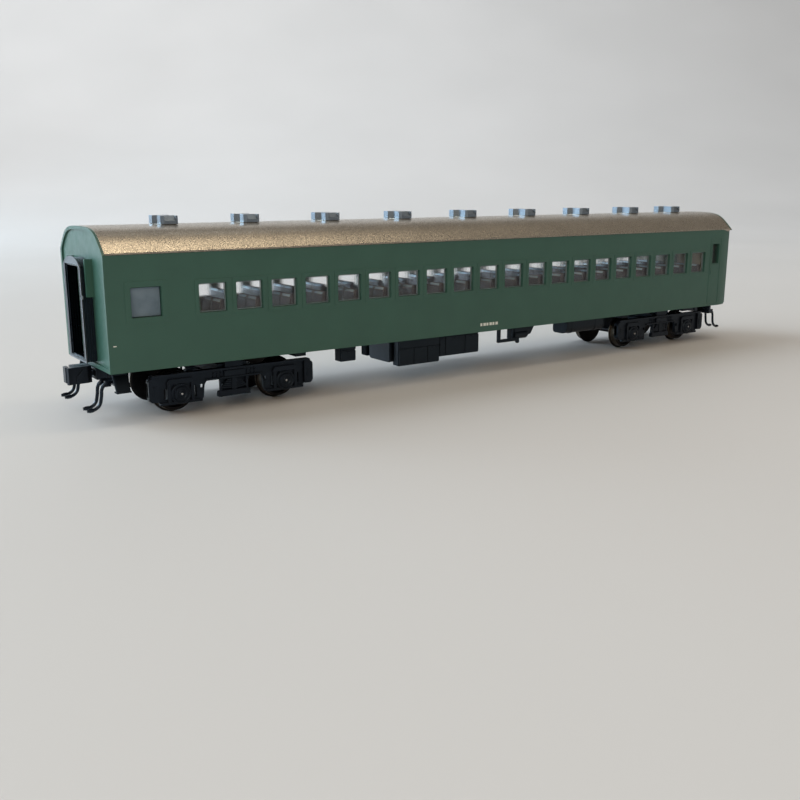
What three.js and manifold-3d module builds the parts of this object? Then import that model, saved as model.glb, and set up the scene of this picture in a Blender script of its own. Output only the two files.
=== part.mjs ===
// Model passenger coach, 1:80 scale on 16.5 mm gauge wheels.
//
// Millimetres. X runs along the coach, Z is up, and the origin is under the middle of the coach on the
// surface that the wheel flanges rest on. The front end is at -X, so the left side is at -Y.
import * as THREE from 'three';
import { mergeVertices } from 'three/addons/utils/BufferGeometryUtils.js';
import Module from 'manifold-3d';

const wasm = await Module();
wasm.setup();

// ---- Driving dimensions -------------------------------------------------------------------------------

const bodyLength = 243.75;
const bodyWidth = 35.06;
const bodyBottom = 13.7;
const eaveHeight = 42.57;
const roofHeight = 48.95;
const wallThickness = 1.2;
const roofThickness = 1.0;
const fitGap = 0.1;
const turnGap = 0.35;

const windowCount = 20;
const windowPitch = 10.356;
const windowWidth = 7.61;
const windowSill = 27.07;
const windowHead = 34.5;

const bogieCentre = 87.5;
const wheelbase = 30.6;
const flangeRadius = 6.0;
const treadRadius = 5.35;
const wheelBackSpacing = 14.5;

const couplerHeight = 11.4;
const couplerReach = 128.0;

// ---- Derived sizes shared by several pieces -----------------------------------------------------------

const halfLength = bodyLength / 2;
const halfWidth = bodyWidth / 2;
const innerHalfWidth = halfWidth - wallThickness;
const endRecess = 0.45;
const endPanelFace = halfLength - endRecess;
const endWallInside = endPanelFace - wallThickness;
const axleHeight = flangeRadius;
const floorBottom = bodyBottom + 0.2;
const floorTop = floorBottom + 1.0;
const equipmentTop = floorBottom - fitGap;
const firstWindow = -94.03;

const axisX = new THREE.Vector3(1, 0, 0);
const axisY = new THREE.Vector3(0, 1, 0);
const axisZ = new THREE.Vector3(0, 0, 1);

// Names of the two ends and two sides, with the sign of their direction.
const ends = { front: -1, rear: 1 };
const sides = { left: -1, right: 1 };

// ---- Solids from three.js geometry --------------------------------------------------------------------

const weldTolerance = 1e-4;

function toSolid(geometry) {
  geometry.deleteAttribute('normal');
  geometry.deleteAttribute('uv');
  const welded = mergeVertices(geometry, weldTolerance);
  return new wasm.Manifold(new wasm.Mesh({
    numProp: 3,
    vertProperties: new Float32Array(welded.attributes.position.array),
    triVerts: new Uint32Array(welded.index.array),
  }));
}

function toGeometry(solid) {
  const mesh = solid.getMesh();
  const geometry = new THREE.BufferGeometry();
  const positions = new Float32Array(mesh.vertProperties);
  geometry.setAttribute('position', new THREE.BufferAttribute(positions, 3));
  geometry.setIndex(new THREE.BufferAttribute(new Uint32Array(mesh.triVerts), 1));
  geometry.computeVertexNormals();
  return geometry;
}

function join(solids) {
  return solids.reduce((whole, piece) => whole.add(piece));
}

function cut(solid, tools) {
  return tools.reduce((whole, tool) => whole.subtract(tool), solid);
}

function polygon(points) {
  return new THREE.Shape(points.map(([a, b]) => new THREE.Vector2(a, b)));
}

// The two limits of a span at a given side or end, in rising order.
function span(sign, near, far) {
  return sign > 0 ? [near, far] : [-far, -near];
}

function box([x0, x1], [y0, y1], [z0, z1]) {
  const geometry = new THREE.BoxGeometry(x1 - x0, y1 - y0, z1 - z0);
  geometry.translate((x0 + x1) / 2, (y0 + y1) / 2, (z0 + z1) / 2);
  return toSolid(geometry);
}

function extrude(outline, depth, basis, curveSegments) {
  const geometry = new THREE.ExtrudeGeometry(outline, { depth, bevelEnabled: false, curveSegments });
  geometry.applyMatrix4(new THREE.Matrix4().makeBasis(...basis));
  return geometry;
}

// A (y, z) outline carried along X.
function extrudeX(outline, [x0, x1], curveSegments = 8) {
  const geometry = extrude(outline, x1 - x0, [axisY, axisZ, axisX], curveSegments);
  return toSolid(geometry.translate(x0, 0, 0));
}

// An (x, z) outline carried along Y.
function extrudeY(outline, [y0, y1], curveSegments = 8) {
  const geometry = extrude(outline, y1 - y0, [axisX, axisZ, axisY.clone().negate()], curveSegments);
  return toSolid(geometry.translate(0, y1, 0));
}

// An (x, y) outline carried up Z.
function extrudeZ(outline, [z0, z1], curveSegments = 8) {
  const geometry = extrude(outline, z1 - z0, [axisX, axisY, axisZ], curveSegments);
  return toSolid(geometry.translate(0, 0, z0));
}

function uprightCylinder(x, y, radius, [z0, z1], segments = 12) {
  const geometry = new THREE.CylinderGeometry(radius, radius, z1 - z0, segments);
  geometry.rotateX(Math.PI / 2);
  return toSolid(geometry.translate(x, y, (z0 + z1) / 2));
}

function crossCylinder(x, z, radius, [y0, y1], segments = 12) {
  const geometry = new THREE.CylinderGeometry(radius, radius, y1 - y0, segments);
  return toSolid(geometry.translate(x, (y0 + y1) / 2, z));
}

// ---- Materials ----------------------------------------------------------------------------------------

function material(color, roughness, metalness) {
  return new THREE.MeshStandardMaterial({ color, roughness, metalness });
}

const greenPaint = material('#3f5a49', 0.45, 0.0);
const goldPaint = material('#b8a285', 0.4, 0.7);
const blackPlastic = material('#1f2125', 0.6, 0.0);
const bogieBlack = material('#26262a', 0.6, 0.0);
const greyPaint = material('#70767d', 0.5, 0.2);
const silverPaint = material('#8fa9c4', 0.4, 0.6);
const clearPlastic = material('#dfe8ee', 0.1, 0.0);
const seatPlastic = material('#4b4852', 0.8, 0.0);
const creamPlastic = material('#d9d4c4', 0.7, 0.0);
const wheelSteel = material('#4d463f', 0.35, 0.9);
const axleSteel = material('#b9bcc0', 0.25, 1.0);
const ballastSteel = material('#6a6d72', 0.5, 0.9);

const coach = new THREE.Group();

function place(name, solid, finish, parent = coach) {
  const mesh = new THREE.Mesh(toGeometry(solid), finish);
  mesh.name = name;
  parent.add(mesh);
  return mesh;
}

// ---- Roof curve ---------------------------------------------------------------------------------------

// One side of the roof is a single cubic curve from the crown to the eave. Inset moves it inwards.
const crownReach = 11.74;
const shoulderReach = 11.96;
const shoulderDrop = 0.87;

function roofHalf(shape, sign, inset, towardsEave) {
  const crown = [0, roofHeight - inset];
  const crownHandle = [sign * (crownReach - 0.4 * inset), roofHeight - inset];
  const eaveHandle = [sign * (shoulderReach - 0.7 * inset), roofHeight - shoulderDrop - 0.7 * inset];
  const eave = [sign * (halfWidth - 1.25 * inset), eaveHeight];
  if (towardsEave) {
    shape.bezierCurveTo(...crownHandle, ...eaveHandle, ...eave);
  } else {
    shape.bezierCurveTo(...eaveHandle, ...crownHandle, ...crown);
  }
}

// ---- Body shell ---------------------------------------------------------------------------------------

const taperStart = 116.8;
const taperDepth = 1.0;
const rimWidth = 1.1;
const rimBack = endPanelFace - 0.125;
const passageHalfWidth = 4.3;
const passageBottom = 15.4;
const passageTop = 38.2;

// The body narrows a little beyond the entrance doors at the rear end.
function planOutline(sideInset, endInset) {
  const width = halfWidth - sideInset;
  const front = -halfLength + endInset;
  const rear = halfLength - endInset;
  const rearWidth = width - taperDepth * (rear - taperStart) / (halfLength - taperStart);
  return polygon([
    [front, -width], [taperStart, -width], [rear, -rearWidth],
    [rear, rearWidth], [taperStart, width], [front, width],
  ]);
}

// The shape of the roof's end, drawn smaller by the inset, with sides that drop a little below the eave.
function archShape(inset, drop) {
  const reach = halfWidth - 1.25 * inset;
  const shape = new THREE.Shape();
  shape.moveTo(-reach, eaveHeight - drop);
  shape.lineTo(reach, eaveHeight - drop);
  shape.lineTo(reach, eaveHeight);
  roofHalf(shape, 1, inset, false);
  roofHalf(shape, -1, inset, true);
  return shape;
}

// The end wall's part that closes the roof's end, from inside the roof.
function endArch(end) {
  const inset = roofThickness + 0.2;
  return extrudeX(archShape(inset, 2), span(end, endWallInside, endPanelFace), 10);
}

// The body's raised rim carried over the arch, on a thin flange that covers the end of the roof.
function archRim(end) {
  const disc = extrudeX(archShape(0, 0.3), span(end, rimBack, halfLength), 12);
  const opening = archShape(rimWidth / 1.25, 0.4);
  return disc.subtract(extrudeX(opening, span(end, endPanelFace, halfLength + 1), 12));
}

function endWallCuts(end) {
  const recess = box(
    span(end, endPanelFace, halfLength + 1),
    [-(halfWidth - rimWidth), halfWidth - rimWidth],
    [bodyBottom + rimWidth, eaveHeight],
  );
  const rearRecess = box(
    span(end, endPanelFace, halfLength + 1),
    [-(halfWidth - taperDepth - rimWidth), halfWidth - taperDepth - rimWidth],
    [bodyBottom + rimWidth, eaveHeight],
  );
  const passage = box(
    span(end, endWallInside - 1, halfLength + 1),
    [-passageHalfWidth, passageHalfWidth],
    [passageBottom, passageTop],
  );
  return [end > 0 ? rearRecess : recess, passage];
}

// Upright ribs on the end walls, one each side of the gangway's upper half.
function gangwayRib(end, side) {
  const across = span(side, 7.05, 7.85);
  return box(span(end, endPanelFace - 0.2, halfLength + 1.4), across, [31.8, 41.2]);
}

function windowOpening(x0, x1, z0, z1) {
  return box([x0, x1], [-halfWidth - 1, halfWidth + 1], [z0, z1]);
}

function windowOpenings() {
  const openings = [];
  for (let i = 0; i < windowCount; i += 1) {
    const centre = firstWindow + i * windowPitch;
    const edges = [centre - windowWidth / 2, centre + windowWidth / 2];
    openings.push(windowOpening(...edges, windowSill, windowHead));
  }
  const washroomWindow = windowOpening(-115.6, -107.8, windowSill, windowHead);
  const doorWindow = windowOpening(111.0, 114.8, 29.9, 37.3);
  return [...openings, washroomWindow, doorWindow];
}

function bodyShell() {
  const wallTop = eaveHeight - 0.06;
  const walls = extrudeZ(planOutline(0, 0), [bodyBottom, wallTop]);
  const endThickness = endRecess + wallThickness;
  const hollow = extrudeZ(planOutline(wallThickness, endThickness), [bodyBottom - 1, eaveHeight + 1]);
  const cornerCut = extrudeY(
    polygon([[119.9, bodyBottom - 1], [123, bodyBottom - 1], [123, 15.6]]),
    [-halfWidth - 1, halfWidth + 1],
  );
  const shell = join([walls.subtract(hollow), endArch(-1), endArch(1)]);
  const opened = cut(shell, [...endWallCuts(-1), ...endWallCuts(1), ...windowOpenings(), cornerCut]);
  const ribs = [gangwayRib(-1, -1), gangwayRib(-1, 1), gangwayRib(1, -1), gangwayRib(1, 1)];
  return join([opened, ...ribs, archRim(-1), archRim(1)]);
}

place('body_shell', bodyShell(), greenPaint);

// ---- Roof ---------------------------------------------------------------------------------------------

const roofEnd = rimBack - 0.075;
const gutterWidth = 0.25;

function roof() {
  const shape = new THREE.Shape();
  shape.moveTo(halfWidth, eaveHeight);
  roofHalf(shape, 1, 0, false);
  roofHalf(shape, -1, 0, true);
  shape.lineTo(-(halfWidth - 1.25 * roofThickness), eaveHeight);
  roofHalf(shape, -1, roofThickness, false);
  roofHalf(shape, 1, roofThickness, true);
  const shell = extrudeX(shape, [-roofEnd, roofEnd], 12);
  const gutters = Object.values(sides).map((side) => box(
    [-roofEnd, roofEnd],
    span(side, halfWidth - 0.5, halfWidth + gutterWidth),
    [eaveHeight, eaveHeight + 0.4],
  ));
  return join([shell, ...gutters]);
}

place('roof', roof(), goldPaint);

// ---- Roof ventilators ---------------------------------------------------------------------------------

const ventilatorPitch = 26.05;
const ventilatorOffset = 2.3;
const ventilatorLength = 4.8;
const ventilatorWidth = 9.7;
const ventilatorTop = 51.2;
const hoodCorner = 0.7;
const scoopRun = 1.6;
const scoopDrop = 1.3;
const scoopCheek = 0.85;
const outerVentilator = 101.8;

// Two flared hoods back to back with a deep notch between them on both faces. Each hood's outer end has a
// sloping scoop between two upright cheeks, and cut corners.
function ventilator() {
  const hl = ventilatorLength / 2;
  const hw = ventilatorWidth / 2;
  const waist = hl - 1.5;
  const corner = hl - hoodCorner;
  const shoulder = hw - hoodCorner;
  const plan = polygon([
    [-corner, -hw], [corner, -hw], [hl, -shoulder], [hl, -1.9], [waist, -0.7], [waist, 0.7], [hl, 1.9],
    [hl, shoulder], [corner, hw], [-corner, hw], [-hl, shoulder], [-hl, 1.9], [-waist, 0.7],
    [-waist, -0.7], [-hl, -1.9], [-hl, -shoulder],
  ]);
  const hood = extrudeZ(plan, [roofHeight + 0.06, ventilatorTop]);
  const scoops = Object.values(sides).map((side) => {
    const outline = [
      [side * (hw - scoopRun), ventilatorTop], [side * (hw - scoopRun), ventilatorTop + 1],
      [side * (hw + 1), ventilatorTop + 1], [side * (hw + 1), ventilatorTop - scoopDrop],
      [side * hw, ventilatorTop - scoopDrop],
    ];
    const loop = side < 0 ? outline : outline.reverse();
    return extrudeX(polygon(loop), [-hl + scoopCheek, hl - scoopCheek]);
  });
  return cut(hood, scoops);
}

const ventilatorPlaces = [-outerVentilator];
for (let i = -3; i <= 3; i += 1) {
  ventilatorPlaces.push(i * ventilatorPitch);
}
ventilatorPlaces.push(outerVentilator);
ventilatorPlaces.forEach((x, i) => {
  place(`ventilator_${i + 1}`, ventilator(), silverPaint).position.x = x + ventilatorOffset;
});

// ---- Glazing ------------------------------------------------------------------------------------------

for (const [sideName, side] of Object.entries(sides)) {
  const across = span(side, innerHalfWidth - 0.9, innerHalfWidth - 0.07);
  place(`glazing_${sideName}`, box([-118.6, 115.8], across, [25.2, 39.0]), clearPlastic);
}

// ---- Underframe ---------------------------------------------------------------------------------------

const sillBottom = 12.8;
const beamEnd = 119.8;
const pivotBossBottom = 12.65;
const screwShank = 1.0;

function underframe() {
  const outline = planOutline(wallThickness + fitGap, endRecess + wallThickness + fitGap);
  const plate = extrudeZ(outline, [floorBottom, floorTop]);
  const overlap = floorBottom + 0.1;
  const centreSill = box([-80, 80], [-2.4, 2.4], [sillBottom, overlap]);
  const pieces = [plate, centreSill];
  const holes = [];
  for (const end of Object.values(ends)) {
    pieces.push(box(span(end, 65.3, 68.7), [-14.2, 14.2], [12.1, overlap]));
    pieces.push(box(span(end, 114.4, beamEnd), [-12.6, 12.6], [12.9, overlap]));
    pieces.push(uprightCylinder(end * bogieCentre, 0, 3.2, [pivotBossBottom, overlap], 16));
    const holeRise = [pivotBossBottom - 1, floorTop - 0.25];
    holes.push(uprightCylinder(end * bogieCentre, 0, screwShank + fitGap, holeRise));
  }
  return cut(join(pieces), holes);
}

place('underframe', underframe(), blackPlastic);

// ---- Interior -----------------------------------------------------------------------------------------

const ballastTop = 16.0;
const seatFloor = 16.9;
const seatBackTop = 29.8;
const aisleHalfWidth = 3.4;
const interiorHalfWidth = 15.1;

function ballastWeight() {
  return box([-70, 70], [-12, 12], [floorTop + fitGap, ballastTop]);
}

// Twenty rows of double seats on each side of the aisle, all facing the front end.
function seatMoulding() {
  const profile = [
    [-3.4, seatFloor - 0.2], [3.4, seatFloor - 0.2], [4.7, seatBackTop], [3.4, seatBackTop],
    [2.2, 21.3], [-3.4, 21.6],
  ];
  const rows = [];
  for (let i = 0; i < windowCount; i += 1) {
    const centre = firstWindow + i * windowPitch;
    const outline = polygon(profile.map(([x, z]) => [x + centre, z]));
    rows.push(extrudeY(outline, [-interiorHalfWidth, interiorHalfWidth]));
  }
  const aisle = box([-110, 110], [-aisleHalfWidth, aisleHalfWidth], [seatFloor, seatBackTop + 1]);
  const across = [-interiorHalfWidth, interiorHalfWidth];
  const base = box([-101.5, 107.0], across, [ballastTop + fitGap, seatFloor]);
  return join([base, join(rows).subtract(aisle)]);
}

function partition(x) {
  const wall = box([x - 0.4, x + 0.4], [-interiorHalfWidth, interiorHalfWidth], [floorTop + fitGap, 41.8]);
  const doorway = box([x - 1, x + 1], [-aisleHalfWidth, aisleHalfWidth], [floorTop, 37]);
  return wall.subtract(doorway);
}

place('ballast_weight', ballastWeight(), ballastSteel);
place('seat_moulding', seatMoulding(), seatPlastic);
place('washroom_partition', partition(-103.5), creamPlastic);
place('vestibule_partition', partition(108.6), creamPlastic);

// ---- Gangways -----------------------------------------------------------------------------------------

function archOutline(width, bottom, shoulder, top) {
  const shape = new THREE.Shape();
  shape.moveTo(-width, bottom);
  shape.lineTo(width, bottom);
  shape.lineTo(width, shoulder);
  shape.absellipse(0, shoulder, width, top - shoulder, 0, Math.PI, false);
  return shape;
}

const bellowsFront = 124.0;
const faceplateFront = 124.36;
const doorFace = endWallInside - fitGap;

function bellows(end) {
  const along = span(end, endPanelFace + 0.06, bellowsFront);
  const outer = extrudeX(archOutline(6.6, 15.35, 38.1, 41.3), along, 12);
  const passage = box(span(end, endPanelFace - 1, bellowsFront + 1), [-5.0, 5.0], [16.2, 39.2]);
  return outer.subtract(passage);
}

function faceplate(end) {
  const along = span(end, bellowsFront + 0.06, faceplateFront);
  const plate = extrudeX(archOutline(7.0, 15.15, 38.3, 41.6), along, 12);
  const passage = box(span(end, bellowsFront - 1, faceplateFront + 1), [-5.2, 5.2], [15.95, 39.5]);
  const clasps = box(along, [-7.6, 7.6], [31.2, 32.2]);
  return join([plate, clasps]).subtract(passage);
}

function endDoor(end) {
  return box(span(end, doorFace - 0.9, doorFace), [-5.4, 5.4], [floorTop + 0.3, 39.2]);
}

for (const [endName, end] of Object.entries(ends)) {
  place(`${endName}_gangway_bellows`, bellows(end), blackPlastic);
  place(`${endName}_gangway_faceplate`, faceplate(end), greyPaint);
  place(`${endName}_end_door`, endDoor(end), greenPaint);
}

// ---- Couplers -----------------------------------------------------------------------------------------

// A coupler is drawn with its pivot at the origin and its head towards +X. The lugs are the parts of the
// head above and below the knuckle.
const couplerPivot = 116.4;
const headBack = 5.3;
const headFront = 10.2;
const headHalfWidth = 2.4;
const headHalfHeight = 2.2;
const lugThickness = 0.6;
const knucklePinX = 9.0;
const knucklePinY = -1.45;
const knucklePinRadius = 0.35;
const noseFront = couplerReach - couplerPivot;

function couplerPocket() {
  const shell = box([-2, 4.5], [-2.9, 2.9], [-1.6, 1.4]);
  const slot = box([-1.2 - turnGap - 0.3, 5], [-2.15, 2.15], [-0.9, 0.85]);
  const post = uprightCylinder(0, 0, 0.7, [-1, 1]);
  return join([shell.subtract(slot), post]);
}

function couplerHead() {
  const eye = uprightCylinder(0, 0, 1.5, [-0.6, 0.5], 16);
  const shank = box([0.9, headBack + 0.5], [-0.85, 0.85], [-0.6, 0.5]);
  const eyeHole = uprightCylinder(0, 0, 0.7 + turnGap, [-2, 2]);
  const head = extrudeZ(polygon([
    [headBack, -1.6], [headBack + 1.2, -headHalfWidth], [headFront, -headHalfWidth],
    [headFront, 1.3], [headFront + 1.6, 2.1], [headFront + 1.3, 2.9],
    [headFront - 0.6, headHalfWidth], [headBack + 1.2, headHalfWidth], [headBack, 1.6],
  ]), [-headHalfHeight, headHalfHeight]);
  const jawHalfHeight = headHalfHeight - lugThickness;
  const jaw = box([knucklePinX - 1.2, headFront + 1], [-3, 0.9], [-jawHalfHeight, jawHalfHeight]);
  const mouth = box([knucklePinX + 0.9, headFront + 1], [-3, 0.9], [-3, 3]);
  const pinHole = uprightCylinder(knucklePinX, knucklePinY, knucklePinRadius + 0.3, [-3, 3]);
  return cut(join([eye, shank, head]), [eyeHole, jaw, mouth, pinHole]);
}

// The knuckle turns on its upright pin and swings outwards to open.
function knuckle() {
  const hubHalfHeight = headHalfHeight - lugThickness - turnGap;
  const pinHalfHeight = headHalfHeight - 0.1;
  const noseHalfHeight = headHalfHeight - 0.15;
  const hubRise = [-hubHalfHeight, hubHalfHeight];
  const pinRise = [-pinHalfHeight, pinHalfHeight];
  const hub = uprightCylinder(knucklePinX, knucklePinY, 0.75, hubRise);
  const pin = uprightCylinder(knucklePinX, knucklePinY, knucklePinRadius, pinRise);
  const neck = box([knucklePinX, headFront + 0.8], [knucklePinY - 0.7, knucklePinY + 0.6], hubRise);
  const nose = extrudeZ(polygon([
    [headFront + 0.35, -2.3], [noseFront, -1.7], [noseFront, 0.5], [headFront + 0.7, 0.6],
    [headFront + 0.35, -0.2],
  ]), [-noseHalfHeight, noseHalfHeight]);
  return join([hub, pin, neck, nose]);
}

for (const [endName, end] of Object.entries(ends)) {
  const assembly = new THREE.Group();
  assembly.position.set(end * couplerPivot, 0, couplerHeight);
  assembly.rotation.z = end > 0 ? 0 : Math.PI;
  place(`${endName}_coupler_pocket`, couplerPocket(), blackPlastic, assembly);
  place(`${endName}_coupler_head`, couplerHead(), blackPlastic, assembly);
  place(`${endName}_knuckle`, knuckle(), blackPlastic, assembly);
  coach.add(assembly);
}

// ---- Brake hoses --------------------------------------------------------------------------------------

const hoseRadius = 0.32;
const hoseInner = 8.0;
const hoseOuter = 11.3;

// Two stiff moulded hoses on one bracket. They leave the bracket, drop, and turn outwards at the foot.
function hosePair(end, side) {
  const bracket = box(span(end, 118.4, 119.5), span(side, 7.3, 12.0), [9.9, 12.8]);
  const hoses = [hoseInner, hoseOuter].map((y) => {
    const route = new THREE.CatmullRomCurve3([
      new THREE.Vector3(end * 119.2, side * y, 10.7),
      new THREE.Vector3(end * 121.2, side * y, 9.9),
      new THREE.Vector3(end * 122.4, side * y, 7.6),
      new THREE.Vector3(end * 123.1, side * y, 5.0),
      new THREE.Vector3(end * 124.6, side * y, 4.1),
      new THREE.Vector3(end * 126.4, side * y, 3.85),
    ]);
    const section = new THREE.Shape().absarc(0, 0, hoseRadius, 0, 2 * Math.PI, false);
    const options = { extrudePath: route, steps: 10, curveSegments: 3, bevelEnabled: false };
    return toSolid(new THREE.ExtrudeGeometry(section, options));
  });
  return join([bracket, ...hoses]);
}

for (const [endName, end] of Object.entries(ends)) {
  for (const [sideName, side] of Object.entries(sides)) {
    place(`${endName}_brake_hoses_${sideName}`, hosePair(end, side), blackPlastic);
  }
}

// ---- Footsteps under the front corners ----------------------------------------------------------------

function footstep(side) {
  const strap = (x0, x1) => extrudeX(polygon([
    [side * 12.9, equipmentTop], [side * 13.4, equipmentTop], [side * 13.4, 12.4],
    [side * 16.2, 8.5], [side * 15.6, 8.5], [side * 12.9, 12.2],
  ]), [x0, x1]);
  const tread = box([-120.3, -116.5], span(side, 14.4, 16.6), [8.35, 8.8]);
  return join([strap(-120.3, -119.7), strap(-117.1, -116.5), tread]);
}

for (const [sideName, side] of Object.entries(sides)) {
  place(`footstep_${sideName}`, footstep(side), blackPlastic);
}

// ---- Equipment under the floor ------------------------------------------------------------------------

function relayBox() {
  return box([-54.1, -49.05], [-15, -11.3], [9.1, equipmentTop]);
}

// Four lidded compartments with a rib along the lids.
function batteryBox() {
  const body = box([-33.6, -18.3], [-14.7, -11.5], [5.5, equipmentTop]);
  const pieces = [body, box([-33.6, -18.3], [-15, -14.5], [9.0, 9.5])];
  for (let i = 0; i < 4; i += 1) {
    const x = -33.2 + i * 3.75;
    pieces.push(box([x, x + 3.3], [-14.95, -14.5], [5.9, 8.8]));
  }
  return join(pieces);
}

// Two cases across the middle of the coach that hang from one plate, the narrower one with upright ribs.
function middleCases() {
  const plate = box([-34.7, -20], [-11.2, 4.4], [sillBottom - 0.8, sillBottom - 0.2]);
  const wide = box([-34.7, -20], [-11.2, 0], [6.2, sillBottom - 0.5]);
  const narrow = box([-34.7, -20], [1.4, 4.4], [6.5, sillBottom - 0.5]);
  const ribs = [1.9, 2.9, 3.9].map((y) => box([-35, -34.5], [y - 0.2, y + 0.2], [6.7, sillBottom - 1]));
  return join([plate, wide, narrow, ...ribs]);
}

function switchgearBox() {
  const body = box([-18.1, -2.3], [-14.6, -9.5], [6.9, equipmentTop]);
  const door = box([-16.4, -3.0], [-14.9, -14.4], [7.5, 12.4]);
  return join([body, door]);
}

// A two-legged bracket joined to a slanted block, with a small valve below.
function brakeGear() {
  const block = polygon([[12.4, equipmentTop], [22.4, equipmentTop], [20.5, 10.6], [12.4, 9.5]]);
  return join([
    box([5.7, 6.8], [-15, -14.2], [8.9, equipmentTop]),
    box([10.2, 11.3], [-15, -14.2], [8.9, equipmentTop]),
    box([5.7, 15.0], [-15, -14.2], [8.9, 9.9]),
    extrudeY(block, [-14.6, -12.8]),
    uprightCylinder(14.6, -14.4, 0.7, [8.1, 10]),
  ]);
}

// A long tank with a rounded underside, held up by two straps.
function waterTank() {
  const outline = new THREE.Shape();
  outline.moveTo(-14.9, equipmentTop);
  outline.lineTo(-14.9, 11.3);
  outline.absarc(-12.6, 11.3, 2.3, Math.PI, 1.5 * Math.PI, false);
  outline.lineTo(-8.2, 9.0);
  outline.lineTo(-8.2, equipmentTop);
  const straps = [[39.5, 40.5], [51, 52]].map((x) => box(x, [-13.5, -8.0], [8.8, equipmentTop]));
  return join([extrudeX(outline, [37, 55.5]), ...straps]);
}

// On the right side: a lidded box, and an air reservoir hung on two straps.
function toolBox() {
  const body = box([-14, 10], [9.5, 14.6], [7.4, equipmentTop]);
  const lids = [[-13.4, -2.6], [-1.4, 9.4]].map((x) => box(x, [14.2, 14.9], [8, 12.8]));
  return join([body, ...lids]);
}

function airReservoir() {
  const tank = new THREE.CylinderGeometry(2.4, 2.4, 22, 16).rotateZ(Math.PI / 2);
  const straps = [[25, 26.2], [36, 37.2]].map((x) => box(x, [9.2, 14.4], [10.4, equipmentTop]));
  return join([toSolid(tank.translate(31, 11.8, 10.2)), ...straps]);
}

place('relay_box', relayBox(), blackPlastic);
place('battery_box', batteryBox(), blackPlastic);
place('middle_cases', middleCases(), blackPlastic);
place('switchgear_box', switchgearBox(), blackPlastic);
place('brake_gear', brakeGear(), blackPlastic);
place('water_tank', waterTank(), blackPlastic);
place('tool_box', toolBox(), blackPlastic);
place('air_reservoir', airReservoir(), blackPlastic);

// ---- Bogies -------------------------------------------------------------------------------------------

const sideframeInside = 12.7;
const sideframeOutside = 14.6;
const sideframeTop = 11.4;
const frameEnd = 24.0;
const chordBottom = 8.5;
const axleBoxRadius = 2.75;
const pinRadius = 0.5;
const transomTop = pivotBossBottom - turnGap;
const transomBottom = 9.55;

// The outline is the same fore and aft of the spring: half of it runs from the spring to the end piece.
function sideframeOutline() {
  const half = [
    [7.9, chordBottom], [8.4, 3.5], [20.9, 3.2], [21.6, 4.3],
    [frameEnd, 4.5], [frameEnd, 10.8], [22.6, sideframeTop],
  ];
  const mirrored = half.map(([x, z]) => [-x, z]).reverse();
  return polygon([...half, ...mirrored]);
}

function sideframe(side) {
  const plate = extrudeY(sideframeOutline(), span(side, sideframeInside, sideframeOutside));
  const coverDepth = span(side, sideframeOutside - 0.4, sideframeOutside + 0.5);
  const across = span(side, sideframeInside, 14.2);
  const pieces = [plate];
  const holes = [];
  for (const direction of [-1, 1]) {
    const x = direction * wheelbase / 2;
    const slot = direction * 9.2;
    pieces.push(crossCylinder(x, axleHeight, axleBoxRadius, coverDepth, 16));
    holes.push(crossCylinder(x, axleHeight, pinRadius + turnGap, span(side, sideframeInside - 1, 16)));
    holes.push(box([slot - 0.6, slot + 0.6], span(side, 12, 15), [6.6, 7.8]));
  }
  for (const x of [-3.9, 3.9]) {
    pieces.push(box([x - 0.45, x + 0.45], across, [4, chordBottom + 0.5]));
  }
  const springPlank = box([-4.8, 4.8], across, [3.5, 5.2]);
  const spring = box([-2.6, 2.6], span(side, sideframeInside, 13.9), [4.9, chordBottom + 0.5]);
  const bolsterEnd = box([-2.6, 2.6], span(side, 10.5, 14.2), [sideframeTop - 0.5, 13.0]);
  return cut(join([...pieces, springPlank, spring, bolsterEnd]), holes);
}

function bogieFrame() {
  const transom = box([-4.4, 4.4], [-13, 13], [transomBottom, transomTop]);
  const pivotHole = uprightCylinder(0, 0, screwShank + turnGap, [transomBottom - 1, transomTop + 1]);
  return join([transom, sideframe(-1), sideframe(1)]).subtract(pivotHole);
}

function lathe(profile, segments) {
  const points = profile.map(([radius, y]) => new THREE.Vector2(radius, y));
  return new THREE.LatheGeometry(points, segments);
}

function pivotScrew() {
  const headTop = transomBottom - turnGap;
  const shankTop = floorTop - 0.35;
  const geometry = lathe([
    [0, headTop - 0.9], [2.0, headTop - 0.9], [2.0, headTop],
    [screwShank, headTop], [screwShank, shankTop], [0, shankTop],
  ], 12);
  return toSolid(geometry.rotateX(Math.PI / 2));
}

const axleRadius = 1.0;
const pinEnd = 14.35;

function axle() {
  return toSolid(lathe([
    [0, -pinEnd], [pinRadius, -pinEnd], [pinRadius, -12.3], [axleRadius, -11.7],
    [axleRadius, 11.7], [pinRadius, 12.3], [pinRadius, pinEnd], [0, pinEnd],
  ], 12));
}

// A solid disc wheel: flange inboard, coned tread, dished web and raised hub.
function wheel(side) {
  const back = wheelBackSpacing / 2;
  const bore = axleRadius + fitGap;
  const profile = [
    [bore, back], [5.5, back], [flangeRadius, back + 0.3], [treadRadius + 0.05, back + 0.9],
    [treadRadius - 0.1, back + 2.8], [4.5, back + 2.8], [4.2, back + 2.0], [1.9, back + 2.1],
    [1.7, back + 3.0], [bore, back + 3.0], [bore, back],
  ];
  const sided = profile.map(([radius, y]) => [radius, side * y]);
  return toSolid(lathe(side > 0 ? sided : sided.reverse(), 18));
}

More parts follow.
